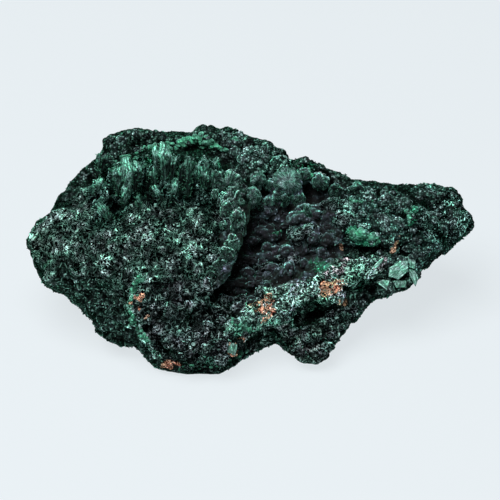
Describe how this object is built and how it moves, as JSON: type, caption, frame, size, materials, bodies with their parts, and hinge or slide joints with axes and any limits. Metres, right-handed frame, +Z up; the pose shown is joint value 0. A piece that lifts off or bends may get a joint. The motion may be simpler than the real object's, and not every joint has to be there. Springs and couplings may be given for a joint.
{
  "type": "malachite specimen",
  "caption": "Hand-sized mass of dark green fibrous malachite: a velvet dome with fanned sprays beside a hollow of dark balls, tapering to one side, trimmed flat beneath.",
  "frame": {"origin": "on the resting plane, under the middle of the bounding box", "axes": "+Z up, +X along the specimen's length from the domed end to the tapering tip, and the show face looks up and towards -Y, 38 degrees above level"},
  "size_m": [0.1119, 0.0583, 0.0474],
  "materials": {
    "malachite": "dark green velvety crust, near black in its gaps, with mint and rust-brown spots"
  },
  "bodies": {
    "root": {"malachite": "malachite"}
  },
  "joints": []
}
